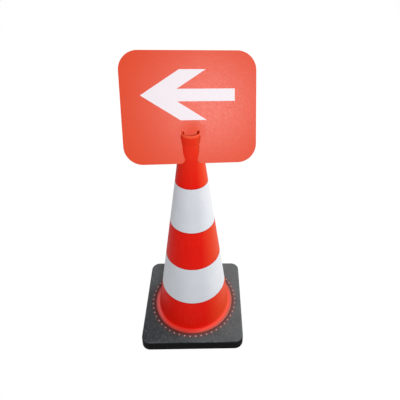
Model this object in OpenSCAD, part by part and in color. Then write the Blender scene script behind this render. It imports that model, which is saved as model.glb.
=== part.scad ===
// Road cone with a slip-on arrow sign.
// The cone is a hollow moulding locked into a weighted base by a ring of pips.
// The sign is one flat sheet: a tongue drops into the open head of the cone
// while two lobes stand outside it, so the sheet leans back and lifts straight off.
// Millimetres, +Z up, ground at z = 0, the sign faces -Y.

/* [Base] */
// Distance from the flange's edge out to the middle of the base's side
base_margin = 16.4; // [10:0.1:40]
// Angle that the base and cone stand turned under the sign, seen from above
base_turn = -4.2; // [-45:0.2:45]
// Height of the base's top face above the ground
base_h = 39; // [30:1:60]
// Radius of the base's upright corners
base_corner_r = 30; // [26:1:45]
// Radius of the rounding along the top edge
base_edge_r = 6; // [2:0.5:10]
// How far the sides lean in from the ground to the top edge
base_draft = 1; // [0:0.5:8]
// Width of the solid border round the underside pockets
base_border_w = 17; // [10:1:24]
// Width of the solid hub outside the flange
base_hub_w = 6; // [3:0.5:12]
// Depth of the underside pockets
pocket_depth = 18; // [6:1:24]
// Thickness of the diagonal web in each corner pocket
pocket_web_t = 9; // [4:0.5:16]

/* [Flange] */
// Width of the foot ring that shows round the cone
foot_ring_w = 13.8; // [11:0.1:20]
// Height of the foot ring above the base's top face
foot_ring_h = 2.5; // [1:0.25:6]
// Fillet between the cone's wall and the foot ring
foot_fillet_r = 5; // [2:0.5:9]
// Distance from the foot ring's edge out to the circle of locking pips
pip_inset = 10.6; // [8:0.1:16]
// Width of the flange outside the circle of pips
flange_edge = 7.2; // [5:0.1:12]
// Thickness of the flange
flange_t = 5; // [3:0.25:8]
// Thickness of the base's lip over the flange
lip_t = 5; // [3:0.25:8]
// Width of the bevel on the lip's inner edge
lip_bevel = 3; // [0.5:0.25:3.5]
// Number of locking pips
pip_count = 50; // [24:1:60]
// Radius of one pip
pip_r = 2.8; // [1.5:0.1:4]
// How far a pip's domed head stands above the lip
pip_rise = 0.9; // [0.3:0.1:2]

/* [Cone] */
// Height of the open rim above the ground
cone_h = 750; // [700:5:900]
// Outer radius of the cone's wall at the base's top face
foot_r = 124.9; // [90:0.1:160]
// Outer radius at the top of the long taper
shoulder_r = 34.25; // [31:0.25:40]
// Height of the shoulder between the taper and the head
shoulder_h = 35; // [25:1:50]
// Outer radius of the cylindrical head
head_r = 26; // [23:0.25:29]
// Height of the cylindrical head
head_h = 30; // [20:1:45]
// Thickness of the cone's wall, measured level
wall = 3; // [2.25:0.25:4]
// Rounding of the rim's two edges
rim_edge_r = 0.9; // [0.3:0.1:1]

/* [Reflective bands] */
// Height of the lower band's bottom edge above the ground
lower_band_z = 164; // [100:1:200]
// Height of the lower band
lower_band_h = 143; // [80:1:180]
// Distance from the shoulder's foot down to the upper band's top edge
upper_band_drop = 91; // [20:1:120]
// Height of the upper band
upper_band_h = 147; // [80:1:170]
// Thickness of a band
band_t = 0.5; // [0.3:0.05:1]
// Depth of the groove that a band sits in
band_groove = 0.9; // [0.7:0.05:1.4]

/* [Sign] */
// Width of the sign's sheet
sign_w = 344.4; // [280:0.2:420]
// Height of the sign's sheet, measured along the sheet
sign_h = 284.8; // [240:0.2:330]
// Thickness of the sheet
sign_t = 3; // [2:0.25:5]
// Radius of the sheet's corners
sign_corner_r = 49; // [15:1:60]
// How far the sheet reaches below the rim, measured along the sheet
sign_drop = 84.4; // [78:0.2:88]
// Angle that the sheet leans back from upright
sign_lean = 24.7; // [23:0.1:27]
// Width of the tongue that drops into the head
tongue_w = 32.8; // [24:0.2:36]
// Width of the throat between the two lobes
throat_w = 32.8; // [26:0.2:40]
// Length of the throat's straight part up from the lower edge
throat_h = 26; // [22:0.5:30]
// Radius of the lobes' inner lower corners
lobe_r = 12; // [4:0.5:16]

/* [Arrow] */
// Length of the arrow from tip to tail
arrow_l = 239; // [150:1:270]
// Height of the arrow's head
arrow_head_h = 126; // [90:1:150]
// Angle of the head's edges to the shaft
arrow_angle = 32.5; // [28:0.1:50]
// Width of one barb, measured along the shaft
arrow_barb_w = 67; // [40:1:80]
// Thickness of the shaft
arrow_shaft_h = 31; // [16:1:50]
// Distance from the sheet's top edge down to the arrow's middle
arrow_from_top = 108.4; // [80:0.1:130]
// How far the arrow's middle stands to the left of the sheet's middle
arrow_shift = 3.4; // [-10:0.2:10]
// Thickness of the arrow's film
arrow_t = 0.4; // [0.2:0.05:0.8]

/* [Clearances] */
// Gap between the flange or a pip and the base round it
mould_gap = 0.15; // [0.05:0.05:0.3]
// Layer of glue behind a band
glue_gap = 0.25; // [0.1:0.05:0.4]
// Gap between the rim and the top of the sign's slits
seat_gap = 0.3; // [0.2:0.05:0.6]
// Gap between the lobes and the outside of the cone
lobe_gap = 0.3; // [0.3:0.05:1]
// Gap between the tongue and the inside of the head
tongue_gap = 0.5; // [0.3:0.05:1]

/* [Hidden] */
$fn = 96;
// Overrun of a cutting tool past the face it cuts
over = 1;
// Straight steps in a rounded edge
arc_steps = 6;
// Heights where the cone's outside changes slope
head_z = cone_h - head_h;
shoulder_z = head_z - shoulder_h;
// Height of the upper band's bottom edge
upper_band_z = shoulder_z - upper_band_drop - upper_band_h;
// Levels and radii of the flange and what it touches
flange_top = base_h - lip_t;
flange_bottom = flange_top - flange_t;
ring_top = base_h + foot_ring_h;
foot_ring_r = foot_r + foot_ring_w;
pip_ring_r = foot_ring_r + pip_inset;
flange_r = pip_ring_r + flange_edge;
base_w = 2 * (flange_r + base_margin);
riser_in_r = foot_ring_r - wall;
bore_r = riser_in_r + 1;
hub_r = flange_r + base_hub_w;
// Lowest height that the sheet reaches
sign_low_z = cone_h - (sign_drop + sign_t) * cos(sign_lean) - sign_t;

// Outside radius of the cone's wall at height z
function cone_r(z) =
    z >= head_z ? head_r :
    z >= shoulder_z ? head_r + (shoulder_r - head_r) * (head_z - z) / shoulder_h :
    shoulder_r + (foot_r - shoulder_r) * (shoulder_z - z) / (shoulder_z - base_h);

// Points of an arc about c from angle a to angle b
function arc(c, r, a, b) =
    [for (i = [0:arc_steps]) let (t = a + (b - a) * i / arc_steps) c + r * [cos(t), sin(t)]];

// Corners of one groove for a band, going up the outside of the wall
function groove(z, h) =
    [[cone_r(z), z], [cone_r(z) - band_groove, z],
     [cone_r(z + h) - band_groove, z + h], [cone_r(z + h), z + h]];

// Half-section of the base's border, from the line through the corner centres outward
function border_section() = concat(
    [[0, 0], [base_corner_r, 0]],
    arc([base_corner_r - base_draft - base_edge_r, base_h - base_edge_r], base_edge_r, 0, 90),
    [[0, base_h]]);

// Square with round corners
module round_square(w, r) {
    square([w, w - 2 * r], center = true);
    square([w - 2 * r, w], center = true);
    for (x = [-1, 1], y = [-1, 1]) translate([x, y] * (w / 2 - r)) circle(r);
}

// Slab with leaning sides, round corners and a rounded top edge
module slab() {
    half = base_w / 2 - base_corner_r;
    translate([-half, -half, 0]) cube([2 * half, 2 * half, base_h]);
    for (q = [0:3]) rotate(90 * q) {
        translate([half, half, 0]) rotate([90, 0, 0]) linear_extrude(2 * half) polygon(border_section());
        translate([half, half, 0]) rotate_extrude(angle = 90) polygon(border_section());
    }
}

// Space in the base for the flange, the foot ring and the cone's inside
module flange_space() {
    lip_in_r = foot_ring_r + mould_gap;
    rotate_extrude() polygon([
        [0, -over], [bore_r, -over], [bore_r, flange_bottom],
        [flange_r + mould_gap, flange_bottom], [flange_r + mould_gap, flange_top + mould_gap],
        [lip_in_r, flange_top + mould_gap], [lip_in_r, base_h - lip_bevel / 2],
        [lip_in_r + lip_bevel, base_h], [lip_in_r + lip_bevel, base_h + over], [0, base_h + over]]);
}

// Weighted base with its flange space, pip holes and underside pockets
module base() {
    color([0.13, 0.135, 0.14]) rotate(base_turn) difference() {
        slab();
        flange_space();
        for (i = [0:pip_count - 1]) rotate(360 * i / pip_count)
            translate([pip_ring_r, 0, flange_top - over]) cylinder(r = pip_r + mould_gap, h = lip_t + 2 * over, $fn = 24);
        translate([0, 0, -over]) linear_extrude(pocket_depth + over) difference() {
            round_square(base_w - 2 * base_border_w, base_corner_r - base_border_w);
            circle(hub_r);
            for (a = [45, 135]) rotate(a) square([2 * base_w, pocket_web_t], center = true);
        }
    }
}

// Hollow cone with its band grooves, round rim, foot ring, flange and pips
module cone_shell() {
    fillet_z = ring_top + foot_fillet_r;
    color([0.86, 0.10, 0.08]) rotate(base_turn) {
        rotate_extrude() polygon(concat(
            [[riser_in_r, flange_bottom], [flange_r, flange_bottom], [flange_r, flange_top],
             [foot_ring_r, flange_top], [foot_ring_r, ring_top - 1], [foot_ring_r - 1, ring_top]],
            [for (p = arc([cone_r(fillet_z) + foot_fillet_r, fillet_z], foot_fillet_r, 270, 180)) p],
            groove(lower_band_z, lower_band_h), groove(upper_band_z, upper_band_h),
            [[shoulder_r, shoulder_z], [head_r, head_z]],
            arc([head_r - rim_edge_r, cone_h - rim_edge_r], rim_edge_r, 0, 90),
            arc([head_r - wall + rim_edge_r, cone_h - rim_edge_r], rim_edge_r, 90, 180),
            [[head_r - wall, head_z], [shoulder_r - wall, shoulder_z],
             [cone_r(base_h) - wall, base_h], [riser_in_r, ring_top - wall - 1]]));
        for (i = [0:pip_count - 1]) rotate(360 * i / pip_count) translate([pip_ring_r, 0, flange_top - over]) {
            cylinder(r = pip_r, h = lip_t + over, $fn = 24);
            translate([0, 0, lip_t + over]) cylinder(r1 = pip_r, r2 = pip_r / 2, h = pip_rise, $fn = 24);
        }
    }
}

// Sleeve of reflective film in its groove
module band(z, h) {
    inner = glue_gap - band_groove;
    rotate_extrude() polygon([
        [cone_r(z + glue_gap) + inner, z + glue_gap], [cone_r(z + glue_gap) + inner + band_t, z + glue_gap],
        [cone_r(z + h - glue_gap) + inner + band_t, z + h - glue_gap], [cone_r(z + h - glue_gap) + inner, z + h - glue_gap]]);
}

module lower_band() { color([0.92, 0.93, 0.95]) band(lower_band_z, lower_band_h); }

module upper_band() { color([0.92, 0.93, 0.95]) band(upper_band_z, upper_band_h); }

// Puts the sheet's own frame, x across and y up the sheet with z out of its face, on the rim
module on_sign() { translate([0, 0, cone_h]) rotate([90 - sign_lean, 0, 0]) children(); }

// Outline of the sheet with the throat between its lobes
module sign_outline() {
    difference() {
        translate([0, sign_h / 2 - sign_drop]) {
            square([sign_w, sign_h - 2 * sign_corner_r], center = true);
            square([sign_w - 2 * sign_corner_r, sign_h], center = true);
            for (x = [-1, 1], y = [-1, 1])
                translate([x * (sign_w / 2 - sign_corner_r), y * (sign_h / 2 - sign_corner_r)]) circle(sign_corner_r);
        }
        translate([-throat_w / 2, -sign_drop - over]) square([throat_w, throat_h + over]);
        for (s = [-1, 1]) difference() {
            translate([s * throat_w / 2 - (s < 0 ? lobe_r : over), -sign_drop - over]) square([lobe_r + over, lobe_r + over]);
            translate([s * (throat_w / 2 + lobe_r), lobe_r - sign_drop]) circle(lobe_r);
        }
    }
}

// Ring of space that the cone's wall needs, at rest and while the sign is lifted
module wall_space() {
    tongue_r = head_r - wall - tongue_gap;
    rotate_extrude() polygon(concat(
        [[tongue_r, cone_h + seat_gap]],
        arc([head_r - rim_edge_r, cone_h - rim_edge_r], rim_edge_r + seat_gap, 90, 0),
        [[head_r + lobe_gap, head_z], [shoulder_r + lobe_gap, shoulder_z],
         [cone_r(sign_low_z) + lobe_gap, sign_low_z], [tongue_r, sign_low_z]]));
}

// Space beside the tongue inside the head, with the slits' round upper ends
module slit_space() {
    out = head_r - wall / 2;
    end_r = (out - tongue_w / 2) / 2;
    end_v = (seat_gap + sign_t * sin(sign_lean)) / cos(sign_lean) - end_r;
    intersection() {
        translate([0, 0, sign_low_z]) cylinder(r = head_r - wall / 4, h = cone_h - sign_low_z + sign_t);
        on_sign() translate([0, 0, -sign_t - over]) linear_extrude(sign_t + 2 * over) for (s = [0, 1]) mirror([s, 0])
            polygon(concat(arc([out - end_r, end_v], end_r, 0, 180),
                [[tongue_w / 2, -sign_drop], [head_r, -sign_drop], [head_r, end_v]]));
    }
}

// Sheet with the slits that part its tongue from its lobes
module sign_panel() {
    color([0.90, 0.30, 0.20]) difference() {
        on_sign() translate([0, 0, -sign_t]) linear_extrude(sign_t) sign_outline();
        wall_space();
        slit_space();
    }
}

// Arrow of white film on the sheet's face
module arrow_film() {
    run = arrow_head_h / 2 / tan(arrow_angle);
    root = arrow_barb_w + arrow_shaft_h / 2 / tan(arrow_angle);
    upper = [[run, arrow_head_h / 2], [run + arrow_barb_w, arrow_head_h / 2], [root, arrow_shaft_h / 2], [arrow_l, arrow_shaft_h / 2]];
    lower = [for (i = [len(upper) - 1:-1:0]) [upper[i].x, -upper[i].y]];
    color([0.96, 0.96, 0.97]) on_sign() translate([-arrow_l / 2 - arrow_shift, sign_h - sign_drop - arrow_from_top, 0])
        linear_extrude(arrow_t) polygon(concat([[0, 0]], upper, lower));
}

base();
cone_shell();
lower_band();
upper_band();
sign_panel();
arrow_film();
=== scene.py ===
import math
import bpy
from mathutils import Matrix, Vector


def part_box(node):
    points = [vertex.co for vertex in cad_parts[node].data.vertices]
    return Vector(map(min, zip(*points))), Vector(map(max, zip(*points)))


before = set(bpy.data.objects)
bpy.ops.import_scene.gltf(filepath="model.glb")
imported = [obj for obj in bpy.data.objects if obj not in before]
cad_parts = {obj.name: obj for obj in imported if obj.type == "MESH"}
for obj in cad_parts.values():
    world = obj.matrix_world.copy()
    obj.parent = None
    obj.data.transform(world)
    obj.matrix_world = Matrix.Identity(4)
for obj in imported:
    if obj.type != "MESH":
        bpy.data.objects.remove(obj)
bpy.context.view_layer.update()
MM = 0.001

# Places on the part that the lamps and finishes follow, in metres, worked out from the parts in model.glb
BASE_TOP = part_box("base")[1].z
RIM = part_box("cone_shell")[1].z
FLANGE_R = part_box("cone_shell")[1].x
FOOT_R = FLANGE_R - 32.5 * MM
BAND_ENDS = [[corner.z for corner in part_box(band)] for band in ("lower_band", "upper_band")]

# Camera: close in front of the sign and a little above it, looking down and slightly to the right
CAMERA_AT = Vector((-0.0175, -0.8656, 1.2488))
CAMERA_YAW, CAMERA_PITCH, CAMERA_ROLL = 8.377, 37.08, -3.065
CAMERA_LENS, CAMERA_SENSOR = 34.316, 36
CAMERA_SHIFT = (-0.075, -0.05)

# What the lamps point at: the lower half of the cone, and the sign's face over the rim
CONE_AIM = Vector((0, 0, 0.4 * RIM))
SIGN_AIM = Vector((0, 0, RIM + 50 * MM))


def add_object(name, data):
    thing = bpy.data.objects.new(name, data)
    bpy.context.scene.collection.objects.link(thing)
    return thing


def add_camera():
    yaw, pitch, roll = (math.radians(a) for a in (CAMERA_YAW, CAMERA_PITCH, CAMERA_ROLL))
    ahead = Vector((math.sin(yaw) * math.cos(pitch), math.cos(yaw) * math.cos(pitch), -math.sin(pitch)))
    right = Vector((math.cos(yaw), -math.sin(yaw), 0))
    down = ahead.cross(right)
    across = math.cos(roll) * right + math.sin(roll) * down
    up = math.sin(roll) * right - math.cos(roll) * down
    data = bpy.data.cameras.new("camera")
    data.sensor_width, data.lens = CAMERA_SENSOR, CAMERA_LENS
    data.shift_x, data.shift_y = CAMERA_SHIFT
    camera = add_object("camera", data)
    turn = Matrix((across, up, -ahead)).transposed()
    camera.matrix_world = Matrix.Translation(CAMERA_AT) @ turn.to_4x4()
    bpy.context.scene.camera = camera


# Round softbox, placed by its bearing from the front round to the right, height angle and distance
def add_softbox(name, aim, bearing, height, away, size, power, colour=(1, 1, 1)):
    bearing, height = math.radians(bearing), math.radians(height)
    flat = math.cos(height)
    towards = Vector((math.sin(bearing) * flat, -math.cos(bearing) * flat, math.sin(height)))
    data = bpy.data.lights.new(name, "AREA")
    data.shape, data.size, data.energy, data.color = "DISK", size, power, colour
    lamp = add_object(name, data)
    lamp.location = aim + away * towards
    lamp.rotation_euler = (-towards).to_track_quat("-Z", "Y").to_euler()


# Linear colour from an sRGB hex value
def linear(hex_colour):
    parts = [int(hex_colour[i:i + 2], 16) / 255 for i in (1, 3, 5)]
    return [c / 12.92 if c <= 0.04045 else ((c + 0.055) / 1.055) ** 2.4 for c in parts] + [1]


# Adds a node, with values for its sockets, wires from other nodes into them, and its own settings
def put(tree, kind, values=(), wires=(), **settings):
    node = tree.nodes.new(kind)
    for name, value in settings.items():
        setattr(node, name, value)
    for socket, value in dict(values).items():
        node.inputs[socket].default_value = value
    for socket, source in dict(wires).items():
        tree.links.new(source, node.inputs[socket])
    return node


def new_finish(name):
    finish = bpy.data.materials.new(name)
    finish.use_nodes = True
    tree = finish.node_tree
    tree.nodes.clear()
    return finish, tree


def close_finish(tree, shader):
    put(tree, "ShaderNodeOutputMaterial", wires={"Surface": shader.outputs[0]})


# Distance of a spot from the cone's axis
def from_axis(tree, spot):
    plan = put(tree, "ShaderNodeVectorMath", {1: (1, 1, 0)}, {0: spot}, operation="MULTIPLY")
    length = put(tree, "ShaderNodeVectorMath", wires={0: plan.outputs["Vector"]}, operation="LENGTH")
    return length.outputs["Value"]


# Upright rub marks from stacking, over the PVC's skin
def stacking_rubs(tree, skin, spot):
    streak_wide, streak_long = 5 * MM, 160 * MM
    drawn = put(tree, "ShaderNodeMapping", {"Scale": (1 / streak_wide, 1 / streak_wide, 1 / streak_long)},
                {"Vector": spot})
    streak = put(tree, "ShaderNodeTexNoise", {"Scale": 1, "Detail": 4, "Roughness": 0.6},
                 {"Vector": drawn.outputs["Vector"]})
    rubbed = put(tree, "ShaderNodeMapRange", {"From Min": 0.58, "From Max": 0.78, "To Max": 0.25},
                 {"Value": streak.outputs["Fac"]})
    return put(tree, "ShaderNodeMix", {"B": linear("#F2583F")},
               {0: rubbed.outputs["Result"], "A": skin.outputs["Result"]}, data_type="RGBA")


# Painted shade over the PVC's skin: a dark line along the upper and the lower edge of each band
def band_edge_shade(tree, skin, level):
    shade_wide = 4 * MM
    for low_end, high_end in BAND_ENDS:
        reach = (high_end - low_end) / 2
        off = put(tree, "ShaderNodeMath", {1: low_end + reach}, {0: level}, operation="SUBTRACT")
        off = put(tree, "ShaderNodeMath", wires={0: off.outputs[0]}, operation="ABSOLUTE")
        shaded = put(tree, "ShaderNodeMapRange",
                   {"From Min": reach + shade_wide, "From Max": reach, "To Max": 0.5},
                   {"Value": off.outputs[0]})
        skin = put(tree, "ShaderNodeMix", {"B": linear("#7E0A08")},
                   {0: shaded.outputs["Result"], "A": skin.outputs["Result"]}, data_type="RGBA")
    return skin


# Foot ring painted pale as a highlight where its ledge catches the light, pinker at its left end and
# browner at its right, with painted shade at its outer edge that is greyer at the right; at both ends the
# highlight and the shade sit a little further in than at the front
def foot_ring_light_and_shade(tree, skin, across, radius):
    lit_from, lit_to = FOOT_R, FOOT_R + 8 * MM
    shade_from, shade_to = FOOT_R + 7 * MM, FOOT_R + 18 * MM
    left_from, left_to = -(FOOT_R - 29 * MM), -(FOOT_R + 4 * MM)
    right_from, right_to = FOOT_R - 144 * MM, FOOT_R - 20 * MM
    end_lead = 2.5 * MM

    leftward = put(tree, "ShaderNodeMapRange", {"From Min": left_from, "From Max": left_to},
                   {"Value": across})
    rightward = put(tree, "ShaderNodeMapRange", {"From Min": right_from, "From Max": right_to},
                    {"Value": across})
    highlight_tone = put(tree, "ShaderNodeMix", {"A": linear("#EE6A5C"), "B": linear("#FF9A98")},
               {0: leftward.outputs["Result"]}, data_type="RGBA")
    highlight_tone = put(tree, "ShaderNodeMix", {"B": linear("#DD7866")},
               {0: rightward.outputs["Result"], "A": highlight_tone.outputs["Result"]}, data_type="RGBA")

    endward = put(tree, "ShaderNodeMath",
                  wires={0: leftward.outputs["Result"], 1: rightward.outputs["Result"]}, operation="ADD")
    shifted_radius = put(tree, "ShaderNodeMath", {1: end_lead}, {0: endward.outputs[0], 2: radius},
                  operation="MULTIPLY_ADD")
    lit_ring = put(tree, "ShaderNodeMapRange",
                 {"From Min": lit_from, "From Max": lit_to, "To Max": 0.54},
                 {"Value": shifted_radius.outputs[0]})
    skin = put(tree, "ShaderNodeMix", data_type="RGBA",
               wires={0: lit_ring.outputs["Result"], "A": skin.outputs["Result"],
                      "B": highlight_tone.outputs["Result"]})

    shade_tone = put(tree, "ShaderNodeMix", {"A": linear("#8E3A34"), "B": linear("#94685F")},
               {0: rightward.outputs["Result"]}, data_type="RGBA")
    shaded_edge = put(tree, "ShaderNodeMapRange", {"From Min": shade_from, "From Max": shade_to, "To Max": 0.82},
                {"Value": shifted_radius.outputs[0]})
    return put(tree, "ShaderNodeMix", data_type="RGBA",
               wires={0: shaded_edge.outputs["Result"], "A": skin.outputs["Result"],
                      "B": shade_tone.outputs["Result"]})


# Pips that stand out of the base, paler than the rest of the PVC
def pale_pips(tree, skin, level, radius):
    pips_from, pips_above = FLANGE_R - 11.5 * MM, BASE_TOP - 0.5 * MM
    outer = put(tree, "ShaderNodeMath", {1: pips_from}, {0: radius}, operation="GREATER_THAN")
    proud = put(tree, "ShaderNodeMath", {1: pips_above}, {0: level}, operation="GREATER_THAN")
    pips = put(tree, "ShaderNodeMath", wires={0: outer.outputs[0], 1: proud.outputs[0]},
               operation="MULTIPLY")
    return put(tree, "ShaderNodeMix", {"B": linear("#BC968F")},
               {0: pips.outputs[0], "A": skin.outputs["Result"]}, data_type="RGBA")


# Injection-moulded PVC, red-orange: an even skin with a soft gloss and a trace of orange peel, rubbed,
# painted paler and more orange on its right and at its head as painted light, with painted shade along
# the bands, painted highlight and shade on the foot ring, a painted highlight on the rim, and paler pips
def moulded_red_pvc():
    flow_size, peel_size = 90 * MM, 3.5 * MM
    head_light_from, rim_from, rim_to = RIM - 150 * MM, RIM - 7.5 * MM, RIM - 4.5 * MM

    finish, tree = new_finish("moulded_red_pvc")
    spot = put(tree, "ShaderNodeTexCoord").outputs["Object"]
    place = put(tree, "ShaderNodeSeparateXYZ", wires={"Vector": spot})
    across, level = place.outputs["X"], place.outputs["Z"]
    radius = from_axis(tree, spot)

    flow = put(tree, "ShaderNodeTexNoise", {"Scale": 1 / flow_size, "Detail": 3, "Roughness": 0.5},
               {"Vector": spot})
    skin = put(tree, "ShaderNodeMix", {"A": linear("#E81206"), "B": linear("#EE1A08")},
               {0: flow.outputs["Fac"]}, data_type="RGBA")

    normal = put(tree, "ShaderNodeNewGeometry").outputs["Normal"]
    facing = put(tree, "ShaderNodeSeparateXYZ", wires={"Vector": normal})
    # Painted light: the side that faces right, towards the key lamp, is painted paler and more orange
    right_side_painted_light = put(tree, "ShaderNodeMapRange", {"From Min": 0.3, "From Max": 0.9, "To Max": 0.95},
                 {"Value": facing.outputs["X"]})
    skin = put(tree, "ShaderNodeMix", {"B": linear("#DA4723")},
               {0: right_side_painted_light.outputs["Result"], "A": skin.outputs["Result"]}, data_type="RGBA")
    skin = stacking_rubs(tree, skin, spot)
    # Painted light: paler and more orange towards the head
    head_painted_light = put(tree, "ShaderNodeMapRange", {"From Min": head_light_from, "From Max": RIM, "To Max": 0.42},
                {"Value": level})
    skin = put(tree, "ShaderNodeMix", {"B": linear("#EC4A28")},
               {0: head_painted_light.outputs["Result"], "A": skin.outputs["Result"]}, data_type="RGBA")

    # Painted shade along the edges of the bands
    skin = band_edge_shade(tree, skin, level)
    # Painted highlight and painted shade on the foot ring
    skin = foot_ring_light_and_shade(tree, skin, across, radius)
    # Painted highlight: paler towards the rim
    rim_highlight = put(tree, "ShaderNodeMapRange", {"From Min": rim_from, "From Max": rim_to, "To Max": 0.7},
              {"Value": level})
    skin = put(tree, "ShaderNodeMix", {"B": linear("#FF6A48")},
               {0: rim_highlight.outputs["Result"], "A": skin.outputs["Result"]}, data_type="RGBA")
    skin = pale_pips(tree, skin, level, radius)

    gloss = put(tree, "ShaderNodeMapRange", {"To Min": 0.46, "To Max": 0.56},
                {"Value": flow.outputs["Fac"]})
    peel = put(tree, "ShaderNodeTexNoise", {"Scale": 1 / peel_size, "Detail": 2}, {"Vector": spot})
    relief = put(tree, "ShaderNodeBump", {"Strength": 0.08, "Distance": 0.3 * MM},
                 {"Height": peel.outputs["Fac"]})
    shader = put(tree, "ShaderNodeBsdfPrincipled", {"IOR": 1.53, "Specular IOR Level": 0.1},
                 {"Base Color": skin.outputs["Result"], "Roughness": gloss.outputs["Result"],
                  "Normal": relief.outputs["Normal"]})
    close_finish(tree, shader)
    return finish


# Painted highlight in patches along the rubber's upper edges, where the surface turns over and catches
# the light
def painted_edge_highlight(tree, skin, dust, upright, upward):
    turned = put(tree, "ShaderNodeMapRange", {"From Min": 0.99, "From Max": 0.92}, {"Value": upright})
    patchy = put(tree, "ShaderNodeMapRange", {"From Min": 0.45, "From Max": 0.7, "To Max": 0.4},
                 {"Value": dust.outputs["Fac"]})
    edge_highlight = put(tree, "ShaderNodeMath", wires={0: turned.outputs["Result"], 1: patchy.outputs["Result"]},
               operation="MULTIPLY")
    edge_highlight = put(tree, "ShaderNodeMath", wires={0: edge_highlight.outputs[0], 1: upward.outputs["Result"]},
               operation="MULTIPLY")
    return put(tree, "ShaderNodeMix", {"B": linear("#85898B")},
               {0: edge_highlight.outputs[0], "A": skin.outputs["Result"]}, data_type="RGBA")


# Dark red over the rubber's top, round the cone's foot and pips
def dark_red_round_foot(tree, skin, radius, upward):
    redden_from, redden_to = FLANGE_R - 15 * MM, FLANGE_R + 1 * MM
    near = put(tree, "ShaderNodeMapRange", {"From Min": redden_to, "From Max": redden_from, "To Max": 0.55},
               {"Value": radius})
    reddened = put(tree, "ShaderNodeMath", wires={0: near.outputs["Result"], 1: upward.outputs["Result"]},
                  operation="MULTIPLY")
    return put(tree, "ShaderNodeMix", {"B": linear("#7A1E15")},
               {0: reddened.outputs[0], "A": skin.outputs["Result"]}, data_type="RGBA")


# Recycled rubber pressed in a mould: black sides, a grey top that stands for dust and for a painted
# sheen, greyed more towards the far right as painted light, and a fine crumb grain with pale flecks
def pressed_crumb_rubber():
    dust_size, crumb_size = 45 * MM, 2.8 * MM
    light_drift_from, light_drift_to = -220 * MM, 120 * MM
    far_right = (math.sqrt(0.5), math.sqrt(0.5), 0)

    finish, tree = new_finish("pressed_crumb_rubber")
    spot = put(tree, "ShaderNodeTexCoord").outputs["Object"]
    normal = put(tree, "ShaderNodeNewGeometry").outputs["Normal"]
    upright = put(tree, "ShaderNodeSeparateXYZ", wires={"Vector": normal}).outputs["Z"]
    upward = put(tree, "ShaderNodeMapRange", {"From Min": 0.25, "From Max": 0.95}, {"Value": upright})

    dust = put(tree, "ShaderNodeTexNoise", {"Scale": 1 / dust_size, "Detail": 6, "Roughness": 0.62},
               {"Vector": spot})
    # Painted light: the top is greyed more towards the far right, the side the key lamp lights
    across = put(tree, "ShaderNodeVectorMath", {1: far_right}, {0: spot}, operation="DOT_PRODUCT")
    painted_light_drift = put(tree, "ShaderNodeMapRange",
                {"From Min": light_drift_from, "From Max": light_drift_to, "To Max": 0.46},
                {"Value": across.outputs["Value"]})
    laid = put(tree, "ShaderNodeMath", {1: 0.3}, {0: dust.outputs["Fac"], 2: painted_light_drift.outputs["Result"]},
               operation="MULTIPLY_ADD")
    grey = put(tree, "ShaderNodeMix", {"A": linear("#292F33"), "B": linear("#787D7E")},
               {0: laid.outputs[0]}, data_type="RGBA")

    crumb = put(tree, "ShaderNodeTexVoronoi", {"Scale": 1 / crumb_size}, {"Vector": spot})
    fleck = put(tree, "ShaderNodeSeparateColor", wires={"Color": crumb.outputs["Color"]})
    pale = put(tree, "ShaderNodeMapRange", {"From Min": 0.75, "From Max": 1, "To Max": 0.32},
               {"Value": fleck.outputs["Red"]})
    grey = put(tree, "ShaderNodeMix", {"B": linear("#8A8C8C")},
               {0: pale.outputs["Result"], "A": grey.outputs["Result"]}, data_type="RGBA")
    # The grey top stands for dust and for a painted sheen; the sides stay black
    skin = put(tree, "ShaderNodeMix", {"A": linear("#070708")},
               {0: upward.outputs["Result"], "B": grey.outputs["Result"]}, data_type="RGBA")
    # Painted highlight along the top's edges
    skin = painted_edge_highlight(tree, skin, dust, upright, upward)
    # Dark red on the top round the cone's foot and pips
    skin = dark_red_round_foot(tree, skin, from_axis(tree, spot), upward)

    gloss = put(tree, "ShaderNodeMapRange", {"To Min": 0.62, "To Max": 0.78},
                {"Value": dust.outputs["Fac"]})
    relief = put(tree, "ShaderNodeBump", {"Strength": 0.3, "Distance": 0.5 * MM},
                 {"Height": crumb.outputs["Distance"]})
    shader = put(tree, "ShaderNodeBsdfPrincipled", {"IOR": 1.5, "Specular IOR Level": 0.05},
                 {"Base Color": skin.outputs["Result"], "Roughness": gloss.outputs["Result"],
                  "Normal": relief.outputs["Normal"]})
    close_finish(tree, shader)
    return finish


# White glass-bead reflective film, wrapped as a sleeve: cool white, a fine bead grain under a clear face
def bead_reflective_film():
    # Real beads are under 0.1 mm; they are drawn at 1.6 mm so that they show
    bead_size, cloud_size = 1.6 * MM, 60 * MM

    finish, tree = new_finish("bead_reflective_film")
    spot = put(tree, "ShaderNodeTexCoord").outputs["Object"]
    cloud = put(tree, "ShaderNodeTexNoise", {"Scale": 1 / cloud_size, "Detail": 4}, {"Vector": spot})
    skin = put(tree, "ShaderNodeMix", {"A": linear("#D2D6DD"), "B": linear("#E4E7EC")},
               {0: cloud.outputs["Fac"]}, data_type="RGBA")
    gloss = put(tree, "ShaderNodeMapRange", {"To Min": 0.36, "To Max": 0.44},
                {"Value": cloud.outputs["Fac"]})
    beads = put(tree, "ShaderNodeTexVoronoi", {"Scale": 1 / bead_size}, {"Vector": spot})
    relief = put(tree, "ShaderNodeBump", {"Strength": 0.06, "Distance": 0.2 * MM},
                 {"Height": beads.outputs["Distance"]})
    shader = put(tree, "ShaderNodeBsdfPrincipled", {"IOR": 1.5, "Specular IOR Level": 0.35},
                 {"Base Color": skin.outputs["Result"], "Roughness": gloss.outputs["Result"],
                  "Normal": relief.outputs["Normal"]})
    close_finish(tree, shader)
    return finish


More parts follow.
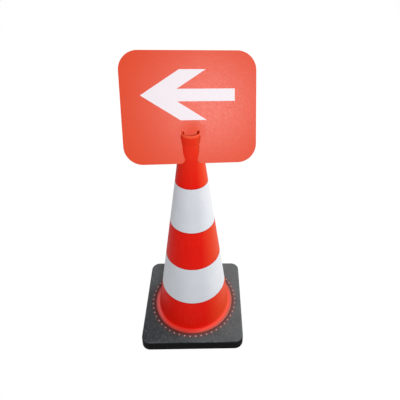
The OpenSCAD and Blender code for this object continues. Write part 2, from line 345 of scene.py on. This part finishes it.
# Extruded plastic sheet, red-orange: flat and satin, with a fine pebble grain that spreads a broad sheen,
# and scuffed duller round the head's mouth
def satin_red_sheet():
    # Real pebbles are about 1 mm; they are drawn 3 mm high and 6 mm long so that they show
    pebble_long, pebble_high, cloud_size = 6 * MM, 3 * MM, 70 * MM
    scuff_middle, scuff_from, scuff_to = (4 * MM, 0, RIM), 8 * MM, 38 * MM

    finish, tree = new_finish("satin_red_sheet")
    spot = put(tree, "ShaderNodeTexCoord").outputs["Object"]
    cloud = put(tree, "ShaderNodeTexNoise", {"Scale": 1 / cloud_size, "Detail": 4}, {"Vector": spot})
    skin = put(tree, "ShaderNodeMix", {"A": linear("#E13F0C"), "B": linear("#E54310")},
               {0: cloud.outputs["Fac"]}, data_type="RGBA")

    laid = put(tree, "ShaderNodeMapping", {"Scale": (1 / pebble_long, 1 / pebble_high, 1 / pebble_high)},
               {"Vector": spot})
    pebble = put(tree, "ShaderNodeTexNoise", {"Scale": 1, "Detail": 3},
                 {"Vector": laid.outputs["Vector"]})
    satin = put(tree, "ShaderNodeMapRange",
                {"From Min": 0.38, "From Max": 0.62, "To Min": 0.385, "To Max": 0.325},
                {"Value": pebble.outputs["Fac"]})
    away = put(tree, "ShaderNodeVectorMath", {1: scuff_middle}, {0: spot}, operation="DISTANCE")
    scuffed = put(tree, "ShaderNodeMapRange",
                  {"From Min": scuff_to, "From Max": scuff_from, "To Max": 0.125},
                  {"Value": away.outputs["Value"]})
    gloss = put(tree, "ShaderNodeMath", wires={0: satin.outputs["Result"], 1: scuffed.outputs["Result"]},
                operation="ADD")
    relief = put(tree, "ShaderNodeBump", {"Strength": 0.35, "Distance": 0.4 * MM},
                 {"Height": pebble.outputs["Fac"]})
    shader = put(tree, "ShaderNodeBsdfPrincipled", {"IOR": 1.5, "Specular IOR Level": 0.28},
                 {"Base Color": skin.outputs["Result"], "Roughness": gloss.outputs[0],
                  "Normal": relief.outputs["Normal"]})
    close_finish(tree, shader)
    return finish


# White vinyl film cut to shape: smooth, almost matt, a trace pink
def white_vinyl():
    cloud_size = 50 * MM

    finish, tree = new_finish("white_vinyl")
    spot = put(tree, "ShaderNodeTexCoord").outputs["Object"]
    cloud = put(tree, "ShaderNodeTexNoise", {"Scale": 1 / cloud_size, "Detail": 4}, {"Vector": spot})
    skin = put(tree, "ShaderNodeMix", {"A": linear("#ECE2E7"), "B": linear("#F4EBEF")},
               {0: cloud.outputs["Fac"]}, data_type="RGBA")
    gloss = put(tree, "ShaderNodeMapRange", {"To Min": 0.44, "To Max": 0.56},
                {"Value": cloud.outputs["Fac"]})
    shader = put(tree, "ShaderNodeBsdfPrincipled", {"IOR": 1.5},
                 {"Base Color": skin.outputs["Result"], "Roughness": gloss.outputs["Result"]})
    close_finish(tree, shader)
    return finish


# Gives nodes of the part their finish
def wear(nodes, finish):
    for name in nodes:
        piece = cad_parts[name]
        piece.data.materials.clear()
        piece.data.materials.append(finish)


# One for rays that come from the eye, straight or by way of a gloss or glass surface, nought for others
def seen_by_eye(tree):
    path = put(tree, "ShaderNodeLightPath")
    seen = path.outputs["Is Camera Ray"]
    for kind in ("Is Glossy Ray", "Is Transmission Ray"):
        either = put(tree, "ShaderNodeMath", wires={0: seen, 1: path.outputs[kind]}, operation="MAXIMUM")
        seen = either.outputs[0]
    return seen


# Pale floor that shows white to the eye and keeps a faint shadow
def add_floor():
    reach, grey, eye_share, eye_glow = 6, 0.35, 0.86, 1.13
    corners = [(-reach, -reach, 0), (reach, -reach, 0), (reach, reach, 0), (-reach, reach, 0)]
    mesh = bpy.data.meshes.new("floor")
    mesh.from_pydata(corners, [], [(0, 1, 2, 3)])
    floor = add_object("floor", mesh)

    finish, tree = new_finish("pale_floor")
    share = put(tree, "ShaderNodeMath", {1: eye_share}, {0: seen_by_eye(tree)}, operation="MULTIPLY")
    paint = put(tree, "ShaderNodeBsdfDiffuse", {"Color": (grey, grey, grey, 1)})
    glow = put(tree, "ShaderNodeEmission", {"Color": (1, 1, 1, 1), "Strength": eye_glow})
    mixed = put(tree, "ShaderNodeMixShader",
                wires={0: share.outputs[0], 1: paint.outputs[0], 2: glow.outputs[0]})
    close_finish(tree, mixed)
    mesh.materials.append(finish)


# Soft even room light, with plain white where the eye sees past the floor
def add_sky():
    world = bpy.data.worlds.new("studio")
    bpy.context.scene.world = world
    world.use_nodes = True
    tree = world.node_tree
    tree.nodes.clear()
    room = put(tree, "ShaderNodeBackground", {"Color": (0.96, 0.98, 1, 1), "Strength": 0.45})
    white = put(tree, "ShaderNodeBackground", {"Color": (1, 1, 1, 1), "Strength": 1})
    mixed = put(tree, "ShaderNodeMixShader",
                wires={0: seen_by_eye(tree), 1: room.outputs[0], 2: white.outputs[0]})
    put(tree, "ShaderNodeOutputWorld", wires={"Surface": mixed.outputs[0]})


add_camera()
add_floor()
add_sky()
add_softbox("key", CONE_AIM, bearing=110, height=27, away=4.0, size=1.5, power=106,
            colour=(1, 0.955, 0.9))
add_softbox("fill", CONE_AIM, bearing=62, height=30, away=3.0, size=1.2, power=7)
add_softbox("window", SIGN_AIM, bearing=6, height=24, away=1.8, size=0.42, power=17.7)
wear(["cone_shell"], moulded_red_pvc())
wear(["base"], pressed_crumb_rubber())
wear(["lower_band", "upper_band"], bead_reflective_film())
wear(["sign_panel"], satin_red_sheet())
wear(["arrow_film"], white_vinyl())
bpy.context.scene.view_settings.view_transform = "Standard"
